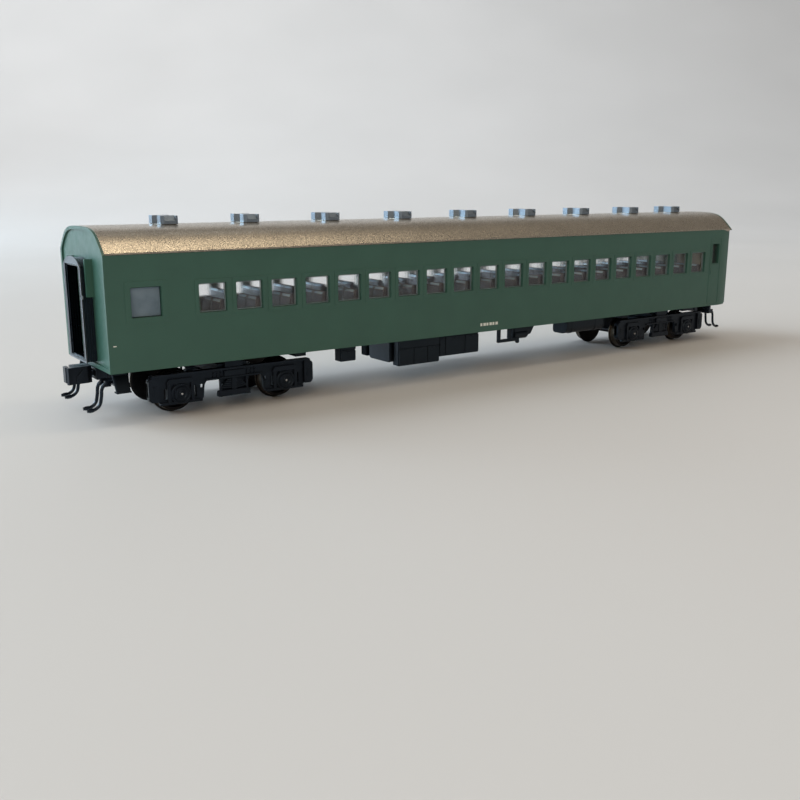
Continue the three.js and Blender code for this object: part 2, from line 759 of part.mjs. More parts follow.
for (const [endName, end] of Object.entries(ends)) {
  const bogie = new THREE.Group();
  bogie.position.x = end * bogieCentre;
  place(`${endName}_bogie_frame`, bogieFrame(), bogieBlack, bogie);
  place(`${endName}_bogie_screw`, pivotScrew(), axleSteel, bogie);
  for (const [axleName, direction] of [['outer', end], ['inner', -end]]) {
    const wheelset = new THREE.Group();
    wheelset.position.set(direction * wheelbase / 2, 0, axleHeight);
    place(`${endName}_${axleName}_axle`, axle(), axleSteel, wheelset);
    for (const [sideName, side] of Object.entries(sides)) {
      place(`${endName}_${axleName}_wheel_${sideName}`, wheel(side), wheelSteel, wheelset);
    }
    bogie.add(wheelset);
  }
  coach.add(bogie);
}

export default coach;
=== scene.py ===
import math

import bmesh
import bpy
from mathutils import Matrix, Vector
from mathutils.geometry import delaunay_2d_cdt


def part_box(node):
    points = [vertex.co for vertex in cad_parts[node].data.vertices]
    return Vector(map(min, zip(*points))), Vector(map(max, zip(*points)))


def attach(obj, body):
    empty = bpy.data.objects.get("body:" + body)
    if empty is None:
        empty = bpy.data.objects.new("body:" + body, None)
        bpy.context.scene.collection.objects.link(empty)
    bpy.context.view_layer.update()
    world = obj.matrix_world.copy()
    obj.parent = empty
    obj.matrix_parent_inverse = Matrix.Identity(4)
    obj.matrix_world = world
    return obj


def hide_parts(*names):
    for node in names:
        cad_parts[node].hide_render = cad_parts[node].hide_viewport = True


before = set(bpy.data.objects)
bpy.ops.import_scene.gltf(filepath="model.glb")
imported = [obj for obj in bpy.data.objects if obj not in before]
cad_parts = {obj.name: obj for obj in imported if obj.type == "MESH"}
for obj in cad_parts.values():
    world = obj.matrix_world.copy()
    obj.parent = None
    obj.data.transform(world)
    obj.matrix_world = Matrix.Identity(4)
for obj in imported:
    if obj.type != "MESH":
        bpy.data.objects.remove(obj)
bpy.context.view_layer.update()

# Shapes are made in millimetres in the frame of the CAD model, as (points, faces), and turned into
# metres when a piece is made. The front end is at -X and the left side, which the camera sees, at -Y.
MM = 0.001
ENDS = {"front": -1, "rear": 1}
SIDES = {"left": -1, "right": 1}


def limits(node):
    """The lowest and highest corner of a CAD node, in millimetres."""
    low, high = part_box(node)
    return low / MM, high / MM


# ---- Shapes ----


def joined(*shapes):
    points, faces = [], []
    for shape_points, shape_faces in shapes:
        start = len(points)
        points.extend(Vector(p) for p in shape_points)
        faces.extend([i + start for i in face] for face in shape_faces)
    return points, faces


def transformed(shape, matrix):
    points, faces = shape
    flipped = matrix.to_3x3().determinant() < 0
    return (
        [matrix @ Vector(p) for p in points],
        [list(reversed(f)) if flipped else list(f) for f in faces],
    )


def moved(shape, x, y=0.0, z=0.0):
    return transformed(shape, Matrix.Translation((x, y, z)))


def both_sides(shape):
    """The shape together with its reflection on the other side of the coach."""
    return joined(shape, transformed(shape, Matrix.Diagonal((1, -1, 1, 1))))


def block(x, y, z):
    points = [(a, b, c) for a in x for b in y for c in z]
    faces = [(0, 1, 3, 2), (4, 6, 7, 5), (0, 4, 5, 1), (2, 3, 7, 6), (0, 2, 6, 4), (1, 5, 7, 3)]
    return points, faces


def span(sign, near, far):
    """A span measured outwards from the middle, on the side that the sign gives."""
    return sorted((sign * near, sign * far))


def placed(axis, a, b, along):
    """A point from its two coordinates in an outline and its place along the axis."""
    return {"x": (along, a, b), "y": (a, along, b), "z": (a, b, along)}[axis]


def prism(axis, outline, low, high, holes=()):
    """An outline with holes carried along an axis. Outlines are (y, z), (x, z) or (x, y) points."""
    loops = [list(outline), *[list(h) for h in holes]]
    flat = [p for loop in loops for p in loop]
    edges, start = [], 0
    for loop in loops:
        count = len(loop)
        edges += [(start + i, start + (i + 1) % count) for i in range(count)]
        start += count
    made = delaunay_2d_cdt([Vector(p) for p in flat], edges, [], 1, 1e-7)
    flat, edges, tris = made[0], made[1], made[2]
    if holes:
        tris = [t for t in tris if not in_a_hole(flat, t, loops[1:])]
    count = len(flat)
    points = [placed(axis, a, b, low) for a, b in flat] + [placed(axis, a, b, high) for a, b in flat]
    faces = [tuple(reversed(t)) for t in tris] + [tuple(i + count for i in t) for t in tris]
    walked = [(t[i], t[(i + 1) % len(t)]) for t in tris for i in range(len(t))]
    known = set(walked)
    faces += [(a, b, b + count, a + count) for a, b in walked if (b, a) not in known]
    return points, faces


def in_a_hole(flat, face, holes):
    middle = sum((flat[i] for i in face), Vector((0, 0))) / len(face)
    return any(inside(middle, hole) for hole in holes)


def inside(point, loop):
    hit = False
    for (x0, y0), (x1, y1) in zip(loop, loop[1:] + loop[:1]):
        if (y0 > point.y) != (y1 > point.y):
            if point.x < (x1 - x0) * (point.y - y0) / (y1 - y0) + x0:
                hit = not hit
    return hit


def rounded(points, radius, steps=4):
    """The outline with its corners rounded. A list of radii gives each corner its own."""
    radii = radius if isinstance(radius, (list, tuple)) else [radius] * len(points)
    result = []
    for i, corner in enumerate(points):
        here = Vector(corner)
        before = Vector(points[i - 1]) - here
        after = Vector(points[(i + 1) % len(points)]) - here
        reach = min(radii[i], before.length * 0.49, after.length * 0.49)
        if reach < 1e-4:
            result.append(tuple(here))
            continue
        start, end = here + before.normalized() * reach, here + after.normalized() * reach
        for k in range(steps + 1):
            t = k / steps
            result.append(tuple(start * (1 - t) ** 2 + here * 2 * t * (1 - t) + end * t * t))
    return result


def oblong(a, b, radius, steps=4):
    """A rectangle from its two spans, with rounded corners."""
    return rounded([(a[0], b[0]), (a[1], b[0]), (a[1], b[1]), (a[0], b[1])], radius, steps)


def around(a, b, margin, radius):
    """The outline of an opening, grown on every side by the margin."""
    return oblong((a[0] - margin, a[1] + margin), (b[0] - margin, b[1] + margin), radius)


def lathe(axis, centre, profile, segments=40):
    """A closed (radius, along) profile turned about an axis through a centre."""
    points, faces = [], []
    rings = []
    for radius, along in profile:
        ring = []
        turns = 1 if radius < 1e-6 else segments
        for i in range(turns):
            angle = 2 * math.pi * i / segments
            a, b = radius * math.cos(angle), radius * math.sin(angle)
            ring.append(len(points))
            points.append(Vector(placed(axis, a, b, along)) + Vector(centre))
        rings.append(ring)
    for ring, after in zip(rings, rings[1:] + rings[:1]):
        if len(ring) == 1 and len(after) == 1:
            continue
        for i in range(segments):
            j = (i + 1) % segments
            corners = [ring[i % len(ring)], ring[j % len(ring)]]
            corners += [after[j % len(after)], after[i % len(after)]]
            faces.append(list(dict.fromkeys(corners)))
    return points, faces


def disc(axis, centre, radius, thickness, edge=0.1, segments=32):
    """A round disc with softened edges that starts at the centre and grows along the axis."""
    sign = 1 if thickness > 0 else -1
    return lathe(axis, centre, [
        (0, 0), (radius, 0), (radius, thickness - sign * edge), (radius - edge, thickness), (0, thickness),
    ], segments)


def rivet(axis, centre, radius=0.22, height=0.2):
    """A small domed head that stands up from the centre along the axis."""
    steps = [(radius * math.cos(a), height * math.sin(a)) for a in (0, 0.45, 0.95)]
    return lathe(axis, centre, [(0, -0.1 * height), (radius, -0.1 * height), *steps, (0, height)], 8)


def tube(path, radius, sides=14):
    """A round bar along a path. A list of radii gives each point of the path its own."""
    path = [Vector(p) for p in path]
    radii = radius if isinstance(radius, (list, tuple)) else [radius] * len(path)
    across = Vector((0, 1, 0)) if abs((path[1] - path[0]).normalized().y) < 0.9 else Vector((1, 0, 0))
    points, faces = [], []
    for i, here in enumerate(path):
        direction = (path[min(i + 1, len(path) - 1)] - path[max(i - 1, 0)]).normalized()
        across = (across - direction * across.dot(direction)).normalized()
        other = direction.cross(across)
        for k in range(sides):
            angle = 2 * math.pi * k / sides
            points.append(here + (across * math.cos(angle) + other * math.sin(angle)) * radii[i])
    for i in range(len(path) - 1):
        for k in range(sides):
            j = (k + 1) % sides
            a, b = i * sides, (i + 1) * sides
            faces.append((a + k, a + j, b + j, b + k))
    faces.append(tuple(reversed(range(sides))))
    faces.append(tuple(range((len(path) - 1) * sides, len(path) * sides)))
    return points, faces


def smooth_path(points, steps=6):
    """A curve through the points."""
    points = [Vector(p) for p in points]
    padded = [points[0] * 2 - points[1], *points, points[-1] * 2 - points[-2]]
    path = []
    for i in range(1, len(padded) - 2):
        a, b, c, d = padded[i - 1 : i + 3]
        for k in range(steps):
            t = k / steps
            path.append(0.5 * (
                2 * b + (c - a) * t + (2 * a - 5 * b + 4 * c - d) * t * t
                + (3 * b - a - 3 * c + d) * t ** 3
            ))
    return [*path, points[-1]]


# ---- Materials ----


def adjust(shader_node, **values):
    """Sets a node's inputs, named with an underscore for each space."""
    for key, value in values.items():
        shader_node.inputs[key.replace("_", " ")].default_value = value


def shader(name, colour, roughness, metallic=0.0, specular=0.5):
    material = bpy.data.materials.new(name)
    material.use_nodes = True
    surface = material.node_tree.nodes["Principled BSDF"]
    adjust(surface, Base_Color=(*colour, 1), Roughness=roughness, Metallic=metallic)
    adjust(surface, Specular_IOR_Level=specular)
    return material, surface


def node(material, kind, **settings):
    made = material.node_tree.nodes.new(kind)
    for key, value in settings.items():
        if hasattr(made, key):
            setattr(made, key, value)
        else:
            adjust(made, **{key: value})
    return made


def link(material, source, target):
    material.node_tree.links.new(source, target)


def noise(material, size, detail):
    """Cloudy noise with features of about this size in millimetres, fixed to the object."""
    place = node(material, "ShaderNodeTexCoord")
    made = node(material, "ShaderNodeTexNoise", Scale=1 / (size * MM), Detail=detail)
    link(material, place.outputs["Object"], made.inputs["Vector"])
    return made.outputs["Fac"]


def remap(material, source, low, high, start=0.3, end=0.7):
    made = node(material, "ShaderNodeMapRange", From_Min=start, From_Max=end, To_Min=low, To_Max=high)
    link(material, source, made.inputs["Value"])
    return made.outputs["Result"]


def mixed(material, factor, first, second):
    made = node(material, "ShaderNodeMix", data_type="RGBA")
    colours = [s for s in made.inputs if s.type == "RGBA"]
    for socket, value in zip(colours, (first, second)):
        if isinstance(value, tuple):
            socket.default_value = (*value, 1)
        else:
            link(material, value, socket)
    link(material, factor, made.inputs["Factor"])
    return [s for s in made.outputs if s.type == "RGBA"][0]


def scaled(colour, amount):
    return tuple(min(1.0, c * amount) for c in colour)


def clouded(material, size, detail, first, second):
    """A colour that drifts between two colours in clouds of about this size."""
    cloud = remap(material, noise(material, size, detail), 0, 1)
    return mixed(material, cloud, first, second)


def uneven_gloss(material, surface, size, detail, low, high):
    gloss = remap(material, noise(material, size, detail), low, high)
    link(material, gloss, surface.inputs["Roughness"])


def uneven_surface(material, surface, height, strength, depth):
    """Raises the surface by a height, where the depth is in millimetres."""
    bump = node(material, "ShaderNodeBump", Strength=strength, Distance=depth * MM)
    link(material, height, bump.inputs["Height"])
    link(material, bump.outputs["Normal"], surface.inputs["Normal"])


def moulded(
    name, colour, roughness, metallic=0.0, specular=0.5, mottle=0.12, grain=0.12, edge=1.6,
    gleam=(1.0, 1.0, 1.0),
):
    """Paint or moulded plastic: uneven colour, edges lighter as wear and as a painted highlight, uneven gloss
    and a fine-grained surface.
    """
    material, surface = shader(name, colour, roughness, metallic, specular)
    body = clouded(material, 9.0, 4.0, scaled(colour, 1 - mottle), scaled(colour, 1 + mottle))
    # Sharp edges are painted lighter: partly wear, partly a painted highlight of the light caught along the
    # edges.
    if edge > 1:
        geometry = node(material, "ShaderNodeNewGeometry")
        wear_and_highlight = remap(material, geometry.outputs["Pointiness"], 0, 0.6, 0.52, 0.62)
        body = mixed(material, wear_and_highlight, body, scaled(colour, edge))
    link(material, body, surface.inputs["Base Color"])
    # The gleam colour tints the reflections; where it is not white, it is a painted reflection of the light
    # around.
    adjust(surface, Specular_Tint=(*gleam, 1))
    uneven_gloss(material, surface, 2.2, 5.0, roughness - 0.05, roughness + 0.07)
    uneven_surface(material, surface, noise(material, 0.16, 4.0), grain, 0.03)
    return material


def flaked(name, colour, roughness, metallic, sparkle, flake, bright):
    """Metallic paint: small domed flakes, each with its own brightness and gloss."""
    material, surface = shader(name, colour, roughness, metallic)
    place = node(material, "ShaderNodeTexCoord")
    cells = node(material, "ShaderNodeTexVoronoi", Scale=1 / (flake * MM))
    link(material, place.outputs["Object"], cells.inputs["Vector"])
    split = node(material, "ShaderNodeSeparateColor")
    link(material, cells.outputs["Color"], split.inputs["Color"])
    broad = clouded(material, 7.0, 5.0, scaled(colour, 0.9), scaled(colour, 1.08))
    bright_flakes = remap(material, split.outputs[0], 0, 1, 0.55, 1.0)
    body = mixed(material, bright_flakes, broad, scaled(colour, bright))
    link(material, body, surface.inputs["Base Color"])
    rough = remap(material, split.outputs[1], roughness - 0.02, roughness + 0.04, 0, 1)
    link(material, rough, surface.inputs["Roughness"])
    uneven_surface(material, surface, cells.outputs["Distance"], sparkle, flake * 0.3)
    return material


def clear_plastic(name):
    material, surface = shader(name, (0.97, 0.985, 1.0), 0.02)
    adjust(surface, Transmission_Weight=1.0, IOR=1.03, Coat_Weight=1.0, Coat_Roughness=0.02, Alpha=0.3)
    uneven_gloss(material, surface, 4.0, 3.0, 0.0, 0.006)
    return material


def frosted(name):
    material, surface = shader(name, (0.2, 0.26, 0.31), 0.4)
    milk = clouded(material, 5.0, 4.0, (0.1, 0.15, 0.2), (0.17, 0.235, 0.3))
    link(material, milk, surface.inputs["Base Color"])
    uneven_surface(material, surface, noise(material, 0.5, 3.0), 0.12, 0.05)
    return material


def bare_metal(name, colour, roughness):
    """Bare metal with an uneven colour and gloss."""
    material, surface = shader(name, colour, roughness, 1.0)
    tone = clouded(material, 1.2, 5.0, scaled(colour, 0.7), scaled(colour, 1.15))
    link(material, tone, surface.inputs["Base Color"])
    uneven_gloss(material, surface, 0.6, 3.0, roughness - 0.08, roughness + 0.12)
    uneven_surface(material, surface, noise(material, 0.12, 3.0), 0.1, 0.02)
    return material


# A blue tint for the reflections of the black plastics: a painted reflection of cool light.
painted_cool_reflection = (0.5, 0.68, 0.88)
green = moulded("green_paint", (0.037, 0.108, 0.084), 0.36, mottle=0.05, grain=0.16, edge=1)
gold = flaked("gold_roof_paint", (0.35, 0.308, 0.255), 0.28, 0.8, sparkle=0.08, flake=0.3, bright=1.3)
silver = flaked("silver_paint", (0.2, 0.24, 0.29), 0.3, 0.85, sparkle=0.1, flake=0.2, bright=1.25)
# Dark silver for the inner faces of the ventilator cheeks: painted shade of the recess, a shaded copy of the
# silver paint.
painted_shade_silver = flaked(
    "painted_shade_silver_paint", (0.035, 0.04, 0.045), 0.4, 0.6, sparkle=0.1, flake=0.2, bright=1.2
)
clear = clear_plastic("clear_window")
frost = frosted("frosted_window")
# Pale, half see-through colour for the pane rims: a painted highlight of the light caught by the bevelled
# glazing edges.
pane_edge_highlight = moulded("pane_edge_highlight", (0.3, 0.38, 0.41), 0.15, specular=0.9, mottle=0.1, grain=0.05, edge=1)
adjust(pane_edge_highlight.node_tree.nodes["Principled BSDF"], Alpha=0.55)
chassis = moulded("underframe_plastic", (0.005, 0.006, 0.008), 0.5, specular=0.4, gleam=painted_cool_reflection)
casing = moulded("equipment_plastic", (0.005, 0.007, 0.01), 0.34, specular=0.36, edge=2.2, gleam=painted_cool_reflection)
bogie_black = moulded("bogie_plastic", (0.004, 0.005, 0.008), 0.36, specular=0.34, edge=2.4, gleam=painted_cool_reflection)
bellows_black = moulded("bellows_plastic", (0.004, 0.005, 0.008), 0.3, edge=2.0, gleam=painted_cool_reflection)
plate_grey = moulded("faceplate_paint", (0.12, 0.135, 0.155), 0.42, 0.25)
coupler_black = moulded("coupler_plastic", (0.006, 0.007, 0.01), 0.34, edge=2.6, gleam=painted_cool_reflection)
hose_black = moulded("hose_plastic", (0.004, 0.005, 0.008), 0.22, edge=1.4, gleam=painted_cool_reflection)
seat_grey = moulded("seat_plastic", (0.085, 0.078, 0.095), 0.55)
headrest = moulded("headrest_cloth", (0.5, 0.62, 0.74), 0.6)
cream = moulded("interior_plastic", (0.5, 0.47, 0.4), 0.5)
white_mark = moulded("printed_marks", (0.55, 0.57, 0.55), 0.5)
steel = bare_metal("turned_steel", (0.55, 0.55, 0.56), 0.28)
weight_steel = bare_metal("rolled_steel", (0.25, 0.25, 0.27), 0.45)
wheel_black = bare_metal("blackened_wheel", (0.022, 0.021, 0.022), 0.42)
tread = bare_metal("worn_tread", (0.1, 0.085, 0.068), 0.38)


# ---- Pieces ----


def into_scene(name, data):
    made = bpy.data.objects.new(name, data)
    bpy.context.scene.collection.objects.link(made)
    return made


def finished(name, mesh, material, body, replaces, bevel=0.1, segments=2, angle=32):
    """What every piece gets: a body to ride on, its CAD nodes, its finish and softened edges."""
    piece = into_scene(name, mesh)
    for polygon in mesh.polygons:
        polygon.use_smooth = True
    if bevel:
        soft = piece.modifiers.new("soft_edges", "BEVEL")
        soft.width = bevel * MM
        soft.segments = segments
        soft.limit_method = "ANGLE"
        soft.angle_limit = math.radians(angle)
        soft.use_clamp_overlap = True
        flat = piece.modifiers.new("flat_faces", "WEIGHTED_NORMAL")
        flat.keep_sharp = True
    else:
        mesh.set_sharp_from_angle(angle=math.radians(angle))
    materials = material if isinstance(material, list) else [material]
    mesh.materials.clear()
    for one in materials:
        mesh.materials.append(one)
    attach(piece, body)
    if replaces:
        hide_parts(replaces)
    return piece


def cleaned(mesh, weld=0.0, corners=None):
    """Welds close points, joins flat neighbouring faces, and may round the chosen corners."""
    work = bmesh.new()
    work.from_mesh(mesh)
    if weld:
        bmesh.ops.remove_doubles(work, verts=work.verts, dist=weld * MM)
    bmesh.ops.dissolve_limit(work, angle_limit=math.radians(0.5), verts=work.verts, edges=work.edges)
    if corners:
        bmesh.ops.bevel(
            work, geom=[e for e in work.edges if corners(e)], offset=corner_radius * MM, segments=3,
            affect="EDGES", profile=0.5, clamp_overlap=True,
        )
    bmesh.ops.recalc_face_normals(work, faces=work.faces)
    work.to_mesh(mesh)
    work.free()


def piece(name, shape, material, body="coach_body", replaces=None, **edges):
    """A piece from a shape. It may stand for one CAD node."""
    mesh = bpy.data.meshes.new(name)
    points, faces = shape
    mesh.from_pydata([Vector(p) * MM for p in points], [], [list(f) for f in faces])
    cleaned(mesh)
    return finished(name, mesh, material, body, replaces, **edges)


def refined(name, node_name, material, body="coach_body", corners=None, **edges):
    """A piece from a CAD node's own solid, with softened edges. Corners may round some edges first."""
    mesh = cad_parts[node_name].data.copy()
    mesh.name = name
    cleaned(mesh, 0.002, corners)
    return finished(name, mesh, material, body, node_name, **edges)


def paint(made, index, chosen):
    """Gives the faces whose centre, in millimetres, is chosen another of the piece's materials."""
    for polygon in made.data.polygons:
        if chosen(polygon.center / MM, polygon.normal):
            polygon.material_index = index


# ---- Body ----

half_width = limits("body_shell")[1].y
eave = 42.57
crown = 48.95
first_window = -94.03
window_pitch = 10.356
window_width = 7.61
window_height = (27.07, 34.5)
washroom_window = (-115.6, -107.8)
door_window = ((111.0, 114.8), (29.9, 37.3))
side_door = ((109.6, 116.0), (14.6, 39.6))
corner_radius = 0.28
moulding = (half_width - 0.05, half_width + 0.1)
window_count = 20
window_centres = [first_window + i * window_pitch for i in range(window_count)]
windows = [(x - window_width / 2, x + window_width / 2) for x in window_centres]


def arch(inset=0.0, steps=40):
    """The roof's outline from the right eave over the crown to the left one, moved inwards by the inset."""
    a, b = Vector((half_width, eave)), Vector((11.96, 48.08))
    c, d = Vector((11.74, crown)), Vector((0, crown))
    points = []
    for i in range(steps + 1):
        t = i / steps
        here = a * (1 - t) ** 3 + b * 3 * t * (1 - t) ** 2 + c * 3 * t * t * (1 - t) + d * t ** 3
        slope = (b - a) * 3 * (1 - t) ** 2 + (c - b) * 6 * t * (1 - t) + (d - c) * 3 * t * t
        inward = Vector((-slope.y, slope.x)).normalized()
        points.append(here + inward * inset)
    left = [Vector((-p.x, p.y)) for p in reversed(points[:-1])]
    return [tuple(p) for p in points + left]


def window_corner(edge):
    """True for the edges of the window openings that run through the wall."""
    a, b = (v.co / MM for v in edge.verts)
    along_y = abs(a.x - b.x) < 0.01 and abs(a.z - b.z) < 0.01
    at_window = window_height[0] - 0.1 < a.z < door_window[1][1] + 0.1 and abs(a.x) < 116
    return along_y and at_window and abs(a.y - b.y) < 1.5


refined("body", "body_shell", green, bevel=0.13, segments=3, corners=window_corner)


def window_frame(x, z, margin, side):
    """A thin raised frame on the body's side round one window."""
    outer = around(x, z, margin, 0.5)
    return prism("y", outer, *span(side, *moulding), holes=[around(x, z, 0.12, 0.5)])


def side_details(side):
    shapes = [window_frame(x, window_height, 1.15, side) for x in windows]
    shapes.append(window_frame(washroom_window, window_height, 1.5, side))
    shapes.append(window_frame(*door_window, 0.6, side))
    near, far = span(side, *moulding)
    inner = [around(*side_door, -0.25, 0)]
    shapes.append(prism("y", around(*side_door, 0, 0), near, far - 0.03, holes=inner))
    grip = side * (half_width + 0.16)
    handle = [(side * half_width, 26.0), (grip, 26.1), (grip, 27.9), (side * half_width, 28.0)]
    shapes.append(tube([(110.4, y, z) for y, z in handle], 0.09, 8))
    return joined(*shapes)


piece("side_mouldings", joined(side_details(-1), side_details(1)), green, bevel=0.05)


# ---- Roof ----

roof_low, roof_high = limits("roof")
roof_sheet = arch() + list(reversed(arch(1.0)))
lips = [oblong(span(side, half_width - 0.4, roof_high.y), (eave, eave + 0.4), 0.12, 3) for side in (-1, 1)]
roof_shapes = [prism("x", outline, roof_low.x, roof_high.x) for outline in (roof_sheet, *lips)]
piece("roof_skin", joined(*roof_shapes), gold, replaces="roof")


def ventilator(number):
    """One ventilator's hood, with painted shade on the inner faces of its cheeks, and the skirt that it
    stands on.
    """
    low, high = limits(f"ventilator_{number}")
    middle = (low.x + high.x) / 2
    hood = refined(f"ventilator_{number}_hood", f"ventilator_{number}", [silver, painted_shade_silver], bevel=0.07)
    # The inner faces of the cheeks get the dark silver as painted shade.
    paint(hood, 1, lambda centre, normal: (
        abs(normal.x) > 0.95 and abs(centre.x - middle) < 1.7 and abs(centre.y) > 3
    ))
    skirt = oblong((middle - 2.1, middle + 2.1), (low.y + 0.9, high.y - 0.9), 0.4)
    piece(f"ventilator_{number}_base", prism("z", skirt, crown - 0.4, crown + 0.1), gold, bevel=0.08)


ventilator_count = 9
for number in range(1, ventilator_count + 1):
    ventilator(number)


# ---- Windows ----

pane_back = 16.2
pane_front = 16.72


def inset_pane(x, z, side, gap=0.3, radius=0.2):
    """The raised part of the glazing moulding that stands in a window opening."""
    return prism("y", around(x, z, -gap, radius), *span(side, pane_back, pane_front))


def pane_rim(x, z, side):
    """The moulded edge round one pane, coloured pale as a painted highlight of the light that the glazing's
    bevel catches.
    """
    outer = around(x, z, -0.07, 0.25)
    return prism("y", outer, *span(side, pane_back, pane_front + 0.06), holes=[around(x, z, -0.29, 0.2)])


for side_name, side in SIDES.items():
    refined(f"glass_{side_name}", f"glazing_{side_name}", clear, bevel=0.08)
    panes = [inset_pane(x, window_height, side) for x in windows]
    panes.append(inset_pane(*door_window, side))
    piece(f"window_panes_{side_name}", joined(*panes), clear, bevel=0.05)
    rims = [pane_rim(x, window_height, side) for x in windows]
    piece(f"window_rims_{side_name}", joined(*rims), pane_edge_highlight, bevel=0.06)
    milky = inset_pane(washroom_window, window_height, side, 0.12, 0.3)
    piece(f"washroom_pane_{side_name}", milky, frost, bevel=0.09)


# ---- Interior ----

seat_low, seat_high = limits("seat_moulding")
aisle = 3.4
doorway_top = 37
outer_reach = seat_high.y


def seat_places(side, gap):
    """The spans across the coach of the two seats on one side, each shortened by the gap."""
    low, high = span(side, aisle, outer_reach)
    middle = (low + high) / 2
    return [(low + gap, middle - gap), (middle + gap, high - gap)]


def seat_row(centre, side):
    cushion = rounded([
        (centre - 3.4, 16.7), (centre + 3.4, 16.7), (centre + 3.3, 21.3), (centre - 2.6, 21.9),
        (centre - 3.4, 21.4),
    ], [0, 0, 0.3, 0.5, 0.5], 3)
    back = rounded([
        (centre + 1.9, 20.4), (centre + 3.5, 20.4), (centre + 4.7, 28.9), (centre + 4.6, 29.8),
        (centre + 3.4, 29.8), (centre + 2.9, 28.6),
    ], [0.2, 0.2, 0.5, 0.4, 0.4, 0.4], 3)
    board = [(centre + 2.4, 20.4), (centre + 3.3, 20.4), (centre + 4.3, 29.0), (centre + 3.5, 29.0)]
    across = span(side, aisle, outer_reach)
    backs = [prism("y", back, *place) for place in seat_places(side, 0.15)]
    return joined(prism("y", cushion, *across), *backs, prism("y", board, *across))


def seat_covers(centre, side):
    """The pale covers over the upper part of each seat back, on the side that faces forward."""
    cover = rounded([
        (centre + 2.72, 25.2), (centre + 3.1, 25.2), (centre + 3.75, 29.55), (centre + 3.35, 29.75),
        (centre + 3.1, 29.2),
    ], 0.2, 3)
    return joined(*[prism("y", cover, *place) for place in seat_places(side, 0.7)])


floor_pan = block((seat_low.x, seat_high.x), (-outer_reach, outer_reach), (seat_low.z, 16.9))
seats = [seat_row(x, side) for x in window_centres for side in (-1, 1)]
piece("seats", joined(floor_pan, *seats), seat_grey, replaces="seat_moulding", bevel=0.12)
covers = [seat_covers(x, side) for x in window_centres for side in (-1, 1)]
piece("seat_back_covers", joined(*covers), headrest, bevel=0.06)
refined("weight", "ballast_weight", weight_steel, bevel=0.15)


def partition(name, node_name):
    low, high = limits(node_name)
    middle = (low.x + high.x) / 2
    doorway = oblong((-aisle, aisle), (low.z + 0.3, doorway_top), [0, 0, 0.5, 0.5])
    outline = oblong((low.y, high.y), (low.z, high.z), 0)
    wall = prism("x", outline, low.x, high.x, holes=[doorway])
    frame_ring = prism(
        "x", oblong((-aisle - 0.6, aisle + 0.6), (low.z + 0.1, doorway_top + 0.6), 0.4),
        middle - 0.52, middle + 0.52, holes=[oblong((-aisle, aisle), (low.z + 0.4, doorway_top), 0.3)],
    )
    piece(name, joined(wall, frame_ring), cream, replaces=node_name, bevel=0.08)


partition("washroom_wall", "washroom_partition")
partition("vestibule_wall", "vestibule_partition")


# ---- Gangways ----


def gangway_arch(reach, bottom, shoulder, top, steps=28):
    """A flat-bottomed outline with an elliptical top."""
    points = [(-reach, bottom), (reach, bottom)]
    for i in range(steps + 1):
        angle = math.pi * i / steps
        points.append((reach * math.cos(angle), shoulder + (top - shoulder) * math.sin(angle)))
    return points


fold_pitch = 0.625


def bellows(end):
    hole = [oblong((-5.0, 5.0), (16.2, 39.2), 0)]
    core = prism("x", gangway_arch(6.15, 15.8, 38.0, 40.85), *span(end, 121.49, 123.99), holes=hole)
    outline = gangway_arch(6.6, 15.35, 38.1, 41.3)
    starts = [121.5 + i * fold_pitch for i in range(4)]
    folds = [prism("x", outline, *span(end, near, near + 0.56), holes=hole) for near in starts]
    return joined(core, *folds)


def faceplate(end):
    outer = gangway_arch(7.0, 15.15, 38.3, 41.6)
    inner = gangway_arch(6.55, 15.55, 38.2, 41.15)
    plate = prism("x", outer, *span(end, 124.06, 124.3), holes=[oblong((-5.55, 5.55), (15.9, 39.5), 0.3)])
    shapes = [plate, prism("x", outer, *span(end, 124.1, 124.36), holes=[inner])]
    for side in (-1, 1):
        clasp = rounded([(side * 6.4, 31.1), (side * 7.6, 31.3), (side * 7.6, 32.1), (side * 6.4, 32.3)], 0.3)
        shapes.append(prism("x", clasp, *span(end, 124.06, 124.36)))
        for z in (18.5, 25.0, 36.5):
            shapes.append(rivet("x", (end * 124.3, side * 6.2, z), 0.16, end * 0.06))
    return joined(*shapes)


def faceplate_lining(end):
    """The black rubber edge inside the faceplate's grey rim."""
    outer = oblong((-6.2, 6.2), (15.55, 39.75), 0.5)
    return prism("x", outer, *span(end, 123.9, 124.34), holes=[oblong((-5.5, 5.5), (16.0, 39.45), 0.3)])


end_door_window = ((-2.2, 2.2), (28.0, 35.5))


def end_door(end):
    low, high = limits("front_end_door" if end < 0 else "rear_end_door")
    face = high.x if end > 0 else low.x
    back = low.x if end > 0 else high.x
    opening = [around(*end_door_window, 0, 0.5)]
    outline = oblong((low.y, high.y), (low.z, high.z), 0)
    leaf = prism("x", outline, *sorted((face - end * 0.12, back)), holes=opening)
    rim = prism("x", around(*end_door_window, 0.4, 0.6), *sorted((face, back + end * 0.1)), holes=opening)
    kick_plate = prism("x", oblong((-3.6, 3.6), (16.6, 19.6), 0.2), *sorted((face, back + end * 0.2)))
    grip = face - end * 0.02
    handle = tube([(face - end * 0.2, 3.4, 25.0), (grip, 3.4, 25.1), (grip, 3.4, 26.6)], 0.12, 8)
    return joined(leaf, rim, kick_plate, handle)


